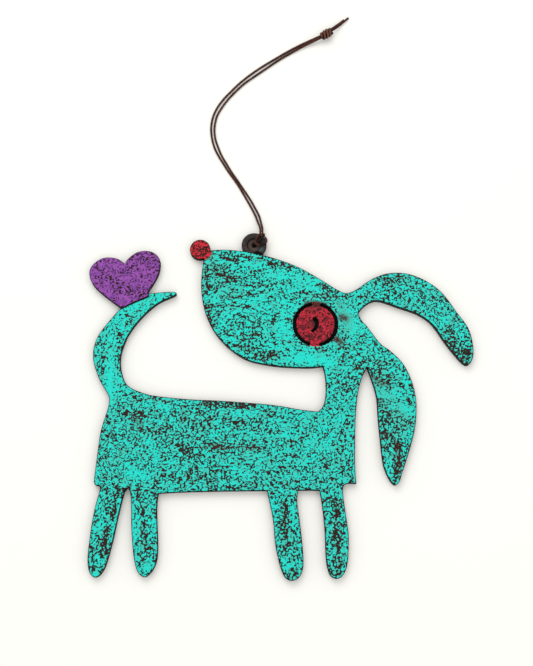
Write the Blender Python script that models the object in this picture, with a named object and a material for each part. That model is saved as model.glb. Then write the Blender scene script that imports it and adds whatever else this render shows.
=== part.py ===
# Flat dog ornament, cut in one piece from steel plate, lying on its back.
# A small dished disc is welded to the top edge of the head, and a doubled cord is hitched through its hole.
# +X runs from tail to ears, +Y from the feet to the head, +Z up through the plate. Metres.

import math

import bmesh
import bpy
import numpy as np
from mathutils import Vector

MM = 0.001

# Plate
FIGURE_LENGTH = 158 * MM  # from the heart's left lobe to the upper ear's right side
PLATE_THICKNESS = 3 * MM
PLATE_CHAMFER = 0.25 * MM  # broken edge along the outline, front and back
NOSE_DIAMETER = 8.5 * MM

# Eye, cut into the front as narrow slots that stop short of the back
EYE_DIAMETER = 15.8 * MM  # the round that the two ring slots leave standing
EYE_SLOT_WIDTH = 1.45 * MM
PUPIL_SLOT_WIDTHS = (1.9 * MM, 1.25 * MM)  # where the cut starts, and where it ends
SLOT_DEPTH = 1.8 * MM
EYE_SLOT_ARCS = [(103, 250), (-76, 72)]  # degrees, anticlockwise from +X

# Disc on the head
DISC_DIAMETER = 10.4 * MM
DISC_THICKNESS = 1.8 * MM
DISC_CHAMFER = 0.2 * MM
DISC_HOLE_DIAMETER = 2.4 * MM
DISH_DIAMETER = 5.8 * MM  # the shallow dish round the hole
DISH_DEPTH = 0.5 * MM
DISC_RISE = 3.4 * MM  # from the head's edge up to the disc's centre
WELD_TOE_WIDTH = 1.2 * MM
WELD_TOE_LENGTHS = (1.7 * MM, 3.2 * MM)  # at the left and the right foot of the disc

# Cord
CORD_DIAMETER = 0.8 * MM
CORD_STEP = 2.8 * MM  # between two points of a free strand
HITCH_STEP = 0.6 * MM
KNOT_DIAMETER = 4.4 * MM
KNOT_LENGTH = 6.3 * MM
KNOT_WRAPS = 5

# Fits and smoothness
GAP = 0.3 * MM  # between touching pieces
CHORD_ERROR = 0.04 * MM
DISC_SEGMENTS = 48
CORD_SIDES = 8

# The dog's outline, clockwise from the nose, in thousandths of FIGURE_LENGTH from the figure's middle.
# A smooth curve runs through each stretch. A stretch starts where the one before it ends, at a corner.
OUTLINE = {
    "forehead, upper ear": [
        (-200, 403), (-183, 403), (-145, 405), (-69, 396), (0, 377), (52, 356), (105, 325), (171, 288),
        (194, 294), (237, 323), (275, 339), (327, 341), (378, 323), (421, 291), (460, 237), (491, 189),
        (500, 125), (490, 100), (482, 96), (472, 101), (431, 151), (393, 206), (361, 230), (307, 250),
        (254, 267), (235, 263), (210, 243), (204, 231),
    ],
    "lower ear": [
        (212, 215), (226, 199), (262, 151), (280, 138), (314, 105), (336, 63), (349, 6), (345, -63),
        (329, -125), (308, -186), (300, -207), (291, -213), (280, -204), (263, -167), (257, -123),
        (250, -36), (246, 19), (224, 90),
    ],
    "chest": [(212, 66), (200, 24), (193, -39), (191, -88), (190, -175), (192, -209)],
    "front foot, right": [
        (166, -210), (159, -219), (166, -296), (171, -338), (166, -415), (156, -437), (142, -446),
        (127, -441), (117, -420), (113, -382), (111, -325), (105, -262), (99, -226),
    ],
    "between the front feet": [(45, -226)],
    "front foot, left": [
        (42, -251), (48, -301), (57, -395), (55, -425), (44, -445), (27, -451), (13, -445), (2, -425),
        (-13, -363), (-19, -300), (-34, -227),
    ],
    "belly": [(-134, -228), (-256, -231), (-309, -234)],
    "hind foot, right": [
        (-312, -262), (-310, -325), (-308, -365), (-310, -400), (-321, -427), (-339, -442), (-354, -434),
        (-365, -407), (-375, -326), (-377, -271), (-381, -229), (-386, -220),
    ],
    "hind foot, left": [
        (-392, -225), (-411, -300), (-421, -350), (-444, -427), (-462, -443), (-475, -435), (-483, -408),
        (-478, -331), (-470, -276), (-457, -222),
    ],
    "haunch": [(-459, -215), (-469, -213), (-473, -204)],
    "rump, outside of the tail": [
        (-465, -124), (-459, -75), (-441, -10), (-440, 12), (-466, 59), (-484, 118), (-476, 166),
        (-441, 217), (-415, 248),
    ],
    "heart, left lobe": [
        (-452, 275), (-490, 311), (-500, 343), (-494, 361), (-466, 382), (-429, 381), (-407, 367),
    ],
    "heart, right lobe": [
        (-401, 378), (-373, 399), (-337, 399), (-316, 379), (-316, 347), (-331, 313), (-340, 299),
        (-346, 286),
    ],
    "tail, back": [
        (-284, 291), (-274, 290), (-270, 286), (-275, 281), (-310, 265), (-334, 248), (-372, 208),
        (-399, 165), (-413, 111), (-404, 61), (-389, 40), (-341, 20), (-305, 14), (-233, 7), (-149, 3),
        (-71, -3), (-9, -9), (54, -20), (97, -25),
    ],
    "nape": [(108, -13), (116, 13), (116, 66), (110, 93)],
    "jaw": [
        (83, 90), (44, 90), (-27, 96), (-94, 114), (-157, 166), (-191, 225), (-206, 297), (-201, 373),
        (-196, 395),
    ],
}
NOSE_AT = (-210, 405.5)
EYE_AT = (92, 204)
DISC_ALONG = -68  # where the disc stands along the head, on the same scale

# The comma of the pupil, in thousandths of EYE_DIAMETER from the eye's centre.
PUPIL_ROUTE = [(-18, 140), (22, 92), (38, 30), (30, -40), (-8, -112), (-66, -166)]

# Routes of the cord in millimetres: x and y from the disc's centre, z from the surface below the piece.
# The hitch goes in at the hole, round behind the rim, over it, round both strands and back the same way.
HITCH_ROUTE = [
    (2.50, 5.30, 3.35), (2.50, 4.60, 3.50), (2.40, 3.80, 3.50), (2.00, 2.90, 3.50), (1.45, 1.95, 3.50),
    (0.85, 1.15, 3.35), (0.35, 0.65, 2.85), (0.12, 0.50, 2.10), (0.15, 0.52, 1.40), (0.55, 0.75, 0.75),
    (1.40, 1.25, 0.60), (2.80, 2.20, 0.60), (4.15, 3.20, 0.70), (4.62, 3.60, 1.40), (4.65, 3.65, 2.40),
    (4.50, 3.85, 3.40), (4.05, 4.10, 4.15), (3.30, 4.35, 4.40), (2.55, 4.35, 4.40), (1.70, 3.80, 4.35),
    (1.10, 2.90, 4.20), (0.70, 1.90, 4.10), (0.55, 1.00, 4.15), (0.90, 0.10, 4.15), (1.70, -0.15, 3.90),
    (2.70, -0.10, 3.55), (3.80, 0.20, 3.50), (4.80, 0.75, 3.50), (5.55, 1.15, 3.15), (5.80, 1.25, 2.35),
    (5.70, 1.20, 1.40), (5.20, 1.05, 0.75), (4.00, 0.60, 0.60), (2.40, 0.10, 0.60), (1.10, -0.25, 0.62),
    (0.50, -0.40, 0.90), (0.26, -0.45, 1.50), (0.28, -0.45, 2.20), (0.50, -0.15, 2.90),
    (1.00, 0.42, 3.35), (1.75, 1.30, 3.50), (2.45, 2.30, 3.50), (3.05, 3.20, 3.50), (3.40, 3.95, 3.50),
    (3.48, 4.60, 3.50), (3.48, 5.30, 3.35),
]
LEFT_STRAND_ROUTE = [
    (2.5, 5.6, 3.2), (2.5, 6.4, 3.0), (2.2, 8.2, 2.2), (1.7, 9.9, 1.5), (0.5, 13.4, 0.75),
    (-1.2, 16.9, 0.47), (-3.1, 20.4, 0.45), (-6.2, 25.7, 0.45), (-8.5, 29.3, 0.45), (-11.0, 32.8, 0.45),
    (-13.1, 36.4, 0.45), (-15.2, 39.9, 0.45), (-16.9, 43.5, 0.45), (-17.9, 47.1, 0.45),
    (-18.4, 50.7, 0.45), (-18.3, 54.3, 0.45), (-17.5, 57.9, 0.45), (-15.9, 61.5, 0.45),
    (-13.4, 65.2, 0.45), (-10.2, 68.8, 0.45), (-6.6, 72.5, 0.45), (-2.4, 76.1, 0.45), (2.6, 79.8, 0.45),
    (8.2, 83.5, 0.45), (14.0, 87.2, 0.5), (20.2, 90.5, 0.95), (24.6, 92.3, 1.6), (28.0, 93.6, 2.2),
]
RIGHT_STRAND_ROUTE = [
    (3.48, 5.6, 3.2), (3.5, 6.4, 3.0), (3.3, 8.2, 2.2), (2.9, 9.9, 1.5), (2.0, 13.4, 0.75),
    (0.3, 16.9, 0.47), (-1.6, 20.4, 0.45), (-4.9, 25.7, 0.45), (-7.3, 29.3, 0.45), (-9.6, 32.8, 0.45),
    (-11.8, 36.4, 0.45), (-13.8, 39.9, 0.45), (-15.3, 43.5, 0.45), (-16.5, 47.1, 0.45),
    (-17.0, 50.7, 0.45), (-16.8, 54.3, 0.45), (-15.9, 57.9, 0.45), (-14.0, 61.5, 0.45),
    (-11.4, 65.2, 0.45), (-8.2, 68.8, 0.45), (-4.4, 72.5, 0.45), (0.4, 76.1, 0.45), (5.5, 79.8, 0.45),
    (10.8, 83.5, 0.45), (16.4, 86.8, 0.5), (21.6, 89.6, 0.95), (25.6, 91.4, 1.6), (28.5, 92.7, 2.2),
]
KNOT_START = (28.5, 93.3, 2.3)
KNOT_TOWARDS = (34.1, 96.4, 2.3)
TAIL_ROUTES = [
    [(32.4, 96.3, 2.7), (35.1, 98.6, 2.1), (37.1, 100.3, 1.4), (38.7, 101.75, 0.9)],
    [(33.0, 96.0, 2.0), (35.8, 98.2, 1.4), (38.4, 100.8, 0.7), (40.7, 102.95, 0.45)],
]


def clear_scene():
    for thing in list(bpy.data.objects):
        bpy.data.objects.remove(thing, do_unlink=True)


def material(name, colour, roughness, metallic):
    made = bpy.data.materials.new(name)
    made.use_nodes = True
    shader = made.node_tree.nodes["Principled BSDF"]
    shader.inputs["Base Color"].default_value = (*colour, 1)
    shader.inputs["Roughness"].default_value = roughness
    shader.inputs["Metallic"].default_value = metallic
    return made


def smooth_curve(points, per_span):
    """A centripetal Catmull-Rom curve through the points, with per_span samples between two of them."""
    points = np.asarray(points, float)
    if len(points) < 3:
        return points
    padded = np.vstack([2 * points[0] - points[1], points, 2 * points[-1] - points[-2]])
    curve = []
    for i in range(1, len(padded) - 2):
        p = padded[i - 1 : i + 3]
        knots = np.concatenate([[0], np.cumsum(np.linalg.norm(np.diff(p, axis=0), axis=1) ** 0.5)])
        t = np.linspace(knots[1], knots[2], per_span, endpoint=False)[:, None]

        def blend(a, b, first, last):
            return ((knots[last] - t) * a + (t - knots[first]) * b) / (knots[last] - knots[first])

        one, two, three = (blend(p[j], p[j + 1], j, j + 1) for j in range(3))
        curve.append(blend(blend(one, two, 0, 2), blend(two, three, 1, 3), 1, 2))
    return np.vstack([*curve, points[-1:]])


def evenly(curve, step):
    """The same curve with its points a step apart."""
    along = np.concatenate([[0], np.cumsum(np.linalg.norm(np.diff(curve, axis=0), axis=1))])
    at = np.linspace(0, along[-1], max(2, round(along[-1] / step) + 1))
    return np.stack([np.interp(at, along, curve[:, k]) for k in range(curve.shape[1])], axis=1)


def thinned(points, error):
    """The fewest of the points whose straight runs stay within the error of the curve."""
    if len(points) < 3:
        return points
    chord = points[-1] - points[0]
    length = np.linalg.norm(chord)
    off = points - points[0]
    away = np.abs(off[:, 0] * chord[1] - off[:, 1] * chord[0]) / max(length, 1e-9)
    furthest = int(away.argmax())
    if away[furthest] <= error:
        return points[[0, -1]]
    return np.vstack([thinned(points[: furthest + 1], error)[:-1], thinned(points[furthest:], error)])


def arc(centre, radius, start, end, steps):
    turn = np.radians(np.linspace(start, end, steps))
    return np.asarray(centre) + radius * np.stack([np.cos(turn), np.sin(turn)], axis=1)


def shared(point):
    """A place given in thousandths of the figure's length, in metres."""
    return np.asarray(point, float) * FIGURE_LENGTH / 1000


def crossing(inside, outside, centre, radius):
    """Where the run from a point inside a circle to one outside it meets the circle."""
    for _ in range(40):
        middle = (inside + outside) / 2
        if np.linalg.norm(middle - centre) < radius:
            inside = middle
        else:
            outside = middle
    return outside


def head_to_nose(edge, nose, radius):
    """An edge of the head that starts inside the nose, cut back to the nose's circle."""
    outside = int((np.linalg.norm(edge - nose, axis=1) > radius).argmax())
    return np.vstack([crossing(edge[outside - 1], edge[outside], nose, radius), edge[outside:]])


def plate_outline():
    """The whole outline anticlockwise, as one closed run of points, and the forehead's edge by itself."""
    nose, radius = shared(NOSE_AT), NOSE_DIAMETER / 2
    stretches, last = [], None
    for points in OUTLINE.values():
        route = shared(points if last is None else [last, *points])
        stretches.append(smooth_curve(route, 12))
        last = points[-1]
    forehead = head_to_nose(stretches[0], nose, radius)
    jaw = head_to_nose(stretches[-1][::-1], nose, radius)[::-1]
    begin = math.degrees(math.atan2(*(jaw[-1] - nose)[::-1]))
    end = math.degrees(math.atan2(*(forehead[0] - nose)[::-1])) - 360
    stretches[0], stretches[-1] = forehead, jaw
    stretches.append(arc(nose, radius, begin, end, 60))
    outline = np.vstack([thinned(stretch, CHORD_ERROR)[:-1] for stretch in stretches])
    return outline[::-1], forehead


def slot_outline(route, widths):
    """A slot along a route, with round ends, anticlockwise, its width going evenly between two values."""
    heading = np.gradient(route, axis=0)
    heading /= np.linalg.norm(heading, axis=1)[:, None]
    half = np.linspace(*widths, len(route))[:, None] / 2
    right = np.stack([heading[:, 1], -heading[:, 0]], axis=1) * half
    ends = [math.degrees(math.atan2(*way[::-1])) for way in (heading[-1], -heading[0])]
    caps = [
        arc(end, width / 2, angle - 90, angle + 90, 9)[1:-1]
        for end, width, angle in zip((route[-1], route[0]), widths[::-1], ends, strict=True)
    ]
    return np.vstack([route + right, caps[0], (route - right)[::-1], caps[1]])


def solid(name, vertices, faces, look=None):
    mesh = bpy.data.meshes.new(name)
    mesh.from_pydata([tuple(map(float, v)) for v in vertices], [], faces)
    work = bmesh.new()
    work.from_mesh(mesh)
    bmesh.ops.recalc_face_normals(work, faces=work.faces)
    work.to_mesh(mesh)
    work.free()
    made = bpy.data.objects.new(name, mesh)
    bpy.context.scene.collection.objects.link(made)
    if look:
        mesh.materials.append(look)
    return made


def stacked(rings, closed=False):
    """Vertices and faces of a skin over rings of equal length: capped at both ends, or closed on itself."""
    count = len(rings[0])
    faces = []
    for level in range(len(rings) if closed else len(rings) - 1):
        low, high = level * count, (level + 1) % len(rings) * count
        faces += [(low + i, low + (i + 1) % count, high + (i + 1) % count, high + i) for i in range(count)]
    if not closed:
        faces.append(tuple(range(count))[::-1])
        faces.append(tuple(range((len(rings) - 1) * count, len(rings) * count)))
    return np.vstack(rings), faces


def raised(outline, height):
    return np.column_stack([outline, np.full(len(outline), height)])


def inset(outline, distance):
    """The outline moved inwards by the distance, square to its sides."""
    ahead = np.roll(outline, -1, axis=0) - outline
    ahead /= np.linalg.norm(ahead, axis=1)[:, None]
    inward = np.stack([-ahead[:, 1], ahead[:, 0]], axis=1)
    before = np.roll(inward, 1, axis=0)
    both = inward + before
    return outline + both * distance / np.maximum(1 + (inward * before).sum(axis=1), 0.5)[:, None]


def prism(name, outline, low, high, chamfer=0, look=None):
    if chamfer:
        small = inset(outline, chamfer)
        levels = [(small, low), (outline, low + chamfer), (outline, high - chamfer), (small, high)]
    else:
        levels = [(outline, low), (outline, high)]
    return solid(name, *stacked([raised(*level) for level in levels]), look)


def turned(name, profile, segments, look=None):
    """A closed profile of radius and height turned round the Z axis."""
    turn = np.linspace(0, 2 * math.pi, segments, endpoint=False)
    round_about = np.stack([np.cos(turn), np.sin(turn)], axis=1)
    rings = [raised(r * round_about, z) for r, z in profile]
    capped = profile[0][0] < 1e-6
    if capped:
        return solid(name, *stacked(rings[1:-1]), look)
    return solid(name, *stacked(rings, closed=True), look)


def tube(name, route, radius, look=None):
    """A round rod along a route, with flat ends."""
    heading = np.gradient(route, axis=0)
    heading /= np.linalg.norm(heading, axis=1)[:, None]
    side = np.cross(heading, (0, 0, 1))
    side /= np.linalg.norm(side, axis=1)[:, None]
    up = np.cross(side, heading)
    turn = np.linspace(0, 2 * math.pi, CORD_SIDES, endpoint=False)
    rings = [
        centre + radius * (np.cos(turn)[:, None] * across + np.sin(turn)[:, None] * above)
        for centre, across, above in zip(route, side, up, strict=True)
    ]
    return solid(name, *stacked(rings), look)


def boolean(target, tool, operation):
    """Cuts the tool from the target, or joins it on, and keeps the tool as a hidden guide."""
    cut = target.modifiers.new(tool.name, "BOOLEAN")
    cut.operation = operation
    cut.solver = "EXACT"
    cut.object = tool
    tool.hide_render = True
    tool.display_type = "WIRE"


def smooth_shading(made, angle=35):
    made.data.shade_smooth()
    made.data.set_sharp_from_angle(angle=math.radians(angle))


def make_plate(outline, eye, look):
    plate = prism("dog_plate", outline, 0, PLATE_THICKNESS, PLATE_CHAMFER, look)
    ring = (EYE_DIAMETER + EYE_SLOT_WIDTH) / 2
    slots = [(arc(eye, ring, start, end, 30), [EYE_SLOT_WIDTH] * 2) for start, end in EYE_SLOT_ARCS]
    pupil = eye + np.asarray(PUPIL_ROUTE) * EYE_DIAMETER / 1000
    slots.append((smooth_curve(pupil, 4), PUPIL_SLOT_WIDTHS))
    for number, (route, widths) in enumerate(slots):
        floor = PLATE_THICKNESS - SLOT_DEPTH
        cutter = prism(f"slot_cutter_{number}", slot_outline(route, widths), floor, 2 * PLATE_THICKNESS)
        boolean(plate, cutter, "DIFFERENCE")
    return plate


def disc_place(forehead):
    """The disc's centre over the head's edge, in the plane of the plate."""
    x = shared(DISC_ALONG)
    return np.array([x, np.interp(x, forehead[:, 0], forehead[:, 1]) + DISC_RISE])


def head_cutter(forehead, centre):
    """What the head takes away from the disc: everything below the forehead's edge and the gap over it."""
    x = centre[0] + np.linspace(-1, 1, 25) * DISC_DIAMETER
    edge = np.column_stack([x, np.interp(x, forehead[:, 0], forehead[:, 1])])
    slope = np.gradient(edge[:, 1], x)
    edge[:, 1] += GAP * np.hypot(1, slope)
    below = edge[:, 1].min() - DISC_DIAMETER
    outline = np.vstack([edge[::-1], [[x[0], below], [x[-1], below]]])
    return prism("head_cutter", outline, -PLATE_THICKNESS, 3 * PLATE_THICKNESS)


def weld_toe(name, at, length, slope):
    """A drop of weld metal at the disc's foot, long along the head's edge."""
    mesh = bpy.data.meshes.new(name)
    work = bmesh.new()
    bmesh.ops.create_uvsphere(work, u_segments=16, v_segments=10, radius=0.5)
    bmesh.ops.scale(work, verts=work.verts, vec=(length, WELD_TOE_WIDTH, DISC_THICKNESS))
    work.to_mesh(mesh)
    work.free()
    toe = bpy.data.objects.new(name, mesh)
    bpy.context.scene.collection.objects.link(toe)
    toe.location = at
    toe.rotation_euler.z = slope
    return toe


def make_disc(centre, forehead, look):
    """The dished disc, level with the plate's front, with its foot cut to the head's edge."""
    high, radius, hole = PLATE_THICKNESS, DISC_DIAMETER / 2, DISC_HOLE_DIAMETER / 2
    low = high - DISC_THICKNESS
    profile = [
        (hole, low), (radius - DISC_CHAMFER, low), (radius, low + DISC_CHAMFER),
        (radius, high - DISC_CHAMFER), (radius - DISC_CHAMFER, high), (DISH_DIAMETER / 2, high),
        (DISH_DIAMETER / 2, high - DISH_DEPTH), (hole, high - DISH_DEPTH),
    ]
    disc = turned("hanger_disc", profile, DISC_SEGMENTS, look)
    disc.location = (*centre, 0)
    reach = math.sqrt(max(radius**2 - DISC_RISE**2, 0))
    for number, (side, length) in enumerate(zip((-1, 1), WELD_TOE_LENGTHS, strict=True)):
        x = centre[0] + side * reach
        before, y, after = np.interp([x - MM, x, x + MM], forehead[:, 0], forehead[:, 1])
        at = (x, y + WELD_TOE_WIDTH / 4, (low + high) / 2)
        toe = weld_toe(f"weld_toe_{number}", at, length, math.atan2(after - before, 2 * MM))
        boolean(disc, toe, "UNION")
    boolean(disc, head_cutter(forehead, centre), "DIFFERENCE")
    return disc


def around(centre, route):
    """A route in millimetres from the disc's centre, in metres in the part's frame."""
    return np.asarray(route, float) * MM + (*centre, 0)


def make_cord(name, route, step, look):
    curve = bpy.data.curves.new(name, "CURVE")
    curve.dimensions = "3D"
    curve.bevel_depth = CORD_DIAMETER / 2
    curve.bevel_resolution = 2
    curve.use_fill_caps = True
    points = evenly(smooth_curve(route, 8), step)
    spline = curve.splines.new("POLY")
    spline.points.add(len(points) - 1)
    for point, place in zip(spline.points, points, strict=True):
        point.co = (*place, 1)
    curve.materials.append(look)
    made = bpy.data.objects.new(name, curve)
    bpy.context.scene.collection.objects.link(made)
    return made


def make_knot(centre, look):
    """The stopper knot as a ribbed barrel along the cord, with its two tails."""
    wrap = KNOT_LENGTH / KNOT_WRAPS
    along = np.linspace(0, KNOT_LENGTH, 6 * KNOT_WRAPS + 1)
    rib = np.abs(np.sin(math.pi * along / wrap))
    swell = np.sqrt(np.clip(1 - ((along / KNOT_LENGTH - 0.5) / 0.62) ** 2, 0, 1))
    radius = swell * (KNOT_DIAMETER / 2 - CORD_DIAMETER / 2 * (1 - rib))
    profile = [(0, 0), *zip(radius, along, strict=True), (0, KNOT_LENGTH)]
    knot = turned("cord_knot", profile, 18, look)
    start, towards = around(centre, [KNOT_START, KNOT_TOWARDS])
    knot.location = start
    knot.rotation_euler = Vector(towards - start).to_track_quat("Z", "Y").to_euler()
    for number, route in enumerate(TAIL_ROUTES):
        points = evenly(smooth_curve(around(centre, route), 6), CORD_STEP / 2)
        boolean(knot, tube(f"tail_{number}", points, CORD_DIAMETER / 2), "UNION")
    return knot


def main():
    clear_scene()
    paint = material("painted_plate", (0.03, 0.58, 0.50), 0.55, 0.0)
    steel = material("dark_disc", (0.045, 0.032, 0.027), 0.6, 0.6)
    cord = material("waxed_cord", (0.065, 0.024, 0.017), 0.5, 0.0)

    outline, forehead = plate_outline()
    centre = disc_place(forehead)
    low, high = outline.min(axis=0), outline.max(axis=0)
    middle = np.array([low[0] + high[0], low[1] + centre[1] + DISC_DIAMETER / 2]) / 2
    outline, forehead, centre = outline - middle, forehead - middle, centre - middle
    eye = shared(EYE_AT) - middle

    make_plate(outline, eye, paint)
    smooth_shading(make_disc(centre, forehead, steel))
    make_cord("cord_hitch", around(centre, HITCH_ROUTE), HITCH_STEP, cord)
    make_cord("cord_left", around(centre, LEFT_STRAND_ROUTE), CORD_STEP, cord)
    make_cord("cord_right", around(centre, RIGHT_STRAND_ROUTE), CORD_STEP, cord)
    smooth_shading(make_knot(centre, cord))


main()
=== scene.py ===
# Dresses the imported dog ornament: painted steel plate, dished disc, twisted cord and knot.
import math

import bmesh
import bpy
import numpy as np
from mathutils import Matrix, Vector
from mathutils.geometry import delaunay_2d_cdt


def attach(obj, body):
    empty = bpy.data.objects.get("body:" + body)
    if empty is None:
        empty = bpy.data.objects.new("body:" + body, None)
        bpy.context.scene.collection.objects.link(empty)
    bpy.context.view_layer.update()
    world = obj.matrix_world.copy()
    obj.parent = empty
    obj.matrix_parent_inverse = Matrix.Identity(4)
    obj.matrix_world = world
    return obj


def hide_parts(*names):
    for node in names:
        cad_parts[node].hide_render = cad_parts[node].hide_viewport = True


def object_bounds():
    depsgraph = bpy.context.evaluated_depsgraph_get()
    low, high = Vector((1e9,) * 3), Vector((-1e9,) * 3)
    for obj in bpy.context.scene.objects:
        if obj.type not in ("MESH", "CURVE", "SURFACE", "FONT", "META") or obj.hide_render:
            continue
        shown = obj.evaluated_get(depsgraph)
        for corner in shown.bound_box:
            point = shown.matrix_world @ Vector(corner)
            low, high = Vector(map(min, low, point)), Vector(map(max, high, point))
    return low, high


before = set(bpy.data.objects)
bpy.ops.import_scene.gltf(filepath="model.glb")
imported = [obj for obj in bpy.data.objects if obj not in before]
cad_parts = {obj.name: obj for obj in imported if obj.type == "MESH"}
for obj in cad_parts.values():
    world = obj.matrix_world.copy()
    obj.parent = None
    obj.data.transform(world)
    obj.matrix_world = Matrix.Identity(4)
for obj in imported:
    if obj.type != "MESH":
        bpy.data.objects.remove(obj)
cadBox = [list(corner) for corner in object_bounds()]
mm = 0.001
print("frame loaded:", ", ".join(sorted(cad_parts)))


# Camera, light and floor

camera = {
    "aim": (-0.00563, 0.02861, 0.003),  # on the plate's front, at the middle of the picture
    "tilt": 11.85,  # degrees from straight down
    "height": 0.517,  # over the plate's front
    "lens": 69.64,
    "sensor": 36,
    "near": 0.01,
}
light = {
    "aim": (0, 0.03, 0),
    "keyPlace": (-0.18, 0.52, 0.62),
    "keySize": 0.55,
    "keyPower": 2.2,
    "fillPlace": (0.45, -0.35, 0.7),
    "fillSize": 0.8,
    "fillPower": 0.95,
    "skyColour": (1.0, 0.995, 0.985),
    "skyStrength": 0.79,
}
# the floor's glow is painted light that lightens the shadows cast on it
floor = {"width": 12.0, "colour": (0.93, 0.928, 0.885), "roughness": 0.85, "glow": 0.045}


def addObject(name, data):
    made = bpy.data.objects.new(name, data)
    bpy.context.scene.collection.objects.link(made)
    return made


def addCamera():
    made = addObject("camera", bpy.data.cameras.new("camera"))
    tilt = math.radians(camera["tilt"])
    x, y, z = camera["aim"]
    made.location = (x, y - camera["height"] * math.tan(tilt), z + camera["height"])
    made.rotation_euler = (tilt, 0, 0)
    made.data.lens = camera["lens"]
    made.data.sensor_width = camera["sensor"]
    made.data.clip_start = camera["near"]
    bpy.context.scene.camera = made


def addSoftLight(name, place, size, power):
    made = addObject(name, bpy.data.lights.new(name, "AREA"))
    made.data.size = size
    made.data.energy = power
    made.location = place
    towards = Vector(light["aim"]) - made.location
    made.rotation_euler = towards.to_track_quat("-Z", "Y").to_euler()


def addSky():
    sky = bpy.data.worlds.new("sky")
    bpy.context.scene.world = sky
    sky.use_nodes = True
    shade = sky.node_tree.nodes["Background"]
    shade.inputs["Color"].default_value = (*light["skyColour"], 1)
    shade.inputs["Strength"].default_value = light["skyStrength"]


addCamera()
for role in ("key", "fill"):
    addSoftLight(f"{role}Light", *[light[role + part] for part in ("Place", "Size", "Power")])
addSky()
bpy.context.scene.view_settings.view_transform = "Standard"


# Shader maths as Python expressions

def mathOperator(operation, reflected=False):
    def operator(wire, other):
        return wire.maths(operation, other, wire) if reflected else wire.maths(operation, wire, other)

    return operator


class Wire:
    # One output of a node. Operators on it add the Math nodes that they need.
    def __init__(self, tree, socket):
        self.tree, self.socket = tree, socket

    def node(self, kind, settings=None, inputs=None, output=0):
        # any node: its settings first, a ramp's stops among them, then the values or links of its sockets
        made = self.tree.nodes.new(kind)
        for name, value in (settings or {}).items():
            if name == "stops":
                for stop in range(2, len(value)):
                    made.color_ramp.elements.new(stop / len(value))
                for element, (place, colour) in zip(made.color_ramp.elements, value, strict=True):
                    element.position, element.color = place, colour
            else:
                setattr(made, name, value)
        for key, value in (inputs or {}).items():
            if isinstance(value, Wire):
                self.tree.links.new(value.socket, made.inputs[key])
            else:
                made.inputs[key].default_value = value
        return Wire(self.tree, made.outputs[output])

    def maths(self, operation, first, second=0.0, clamp=False):
        settings = {"operation": operation, "use_clamp": clamp}
        return self.node("ShaderNodeMath", settings, {0: first, 1: second})

    __add__ = __radd__ = mathOperator("ADD")
    __mul__ = __rmul__ = mathOperator("MULTIPLY")
    __sub__, __rsub__ = mathOperator("SUBTRACT"), mathOperator("SUBTRACT", reflected=True)
    __truediv__, __pow__ = mathOperator("DIVIDE"), mathOperator("POWER")
    most = mathOperator("MAXIMUM")

    def __abs__(self):
        return self.maths("ABSOLUTE", self)

    def below(self, limit, soft):
        # 1 where the value is under the limit, 0 over it, going over smoothly within soft on both sides
        inputs = {"Value": self - limit, "From Min": soft, "From Max": -soft}
        return self.node("ShaderNodeMapRange", {"interpolation_type": "SMOOTHSTEP"}, inputs)

    def above(self, limit, soft):
        return 1 - self.below(limit, soft)

    def clamped(self):
        return self.maths("ADD", self, 0.0, clamp=True)

    def part(self, axis):
        return self.node("ShaderNodeSeparateXYZ", None, {0: self}, "XYZ".index(axis))

    def vector(self, operation, other, output=0):
        return self.node("ShaderNodeVectorMath", {"operation": operation}, {0: self, 1: other}, output)

    def noise(self, size, detail=0.0, roughness=0.5, distortion=0.0):
        # smooth noise about 0.5, with features about one size across
        inputs = {"Vector": self, "Scale": 1 / size, "Detail": detail}
        inputs |= {"Roughness": roughness, "Distortion": distortion}
        return self.node("ShaderNodeTexNoise", None, inputs)

    def blended(self, other, mask):
        # this colour where the mask is 0, the other where it is 1
        return self.node("ShaderNodeMix", {"data_type": "RGBA"}, {0: mask, 6: self, 7: other}, 2)

    def ramp(self, *stops):
        # this value's colour on a ramp, from stops of place and screen colour
        stops = [(at, linear(code)) for at, code in stops]
        return self.node("ShaderNodeValToRGB", {"stops": stops}, {0: self})


def linear(code):
    # a screen colour such as 2fe0d2, as linear red, green, blue and alpha
    screen = [int(code[k : k + 2], 16) / 255 for k in (0, 2, 4)]
    return (*[c / 12.92 if c < 0.04045 else ((c + 0.055) / 1.055) ** 2.4 for c in screen], 1.0)


def newMaterial(name, **sockets):
    # a Principled material, the Wire of its Object coordinates, and a function that links its sockets
    made = bpy.data.materials.new(name)
    made.use_nodes = True
    tree = made.node_tree
    shader = tree.nodes["Principled BSDF"]
    for key, value in sockets.items():
        shader.inputs[key.replace("_", " ")].default_value = value
    place = Wire(tree, tree.nodes.new("ShaderNodeTexCoord").outputs["Object"])

    def feed(key, wire):
        tree.links.new(wire.socket, shader.inputs[key])

    return made, place, feed


def flatLength(x, y):
    return (x**2 + y**2) ** 0.5


def attribute(place, name, output="Fac"):
    return place.node("ShaderNodeAttribute", {"attribute_name": name}, None, output)


def bump(place, height, distance, strength=1.0):
    inputs = {"Height": height, "Distance": distance, "Strength": strength}
    return place.node("ShaderNodeBump", None, inputs)


# Surfaces worked out with numpy

finish = {
    "merge": 1e-6,  # nearer corner points are one
    "angle": 40,  # degrees between faces that still shade smooth
}


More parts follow.
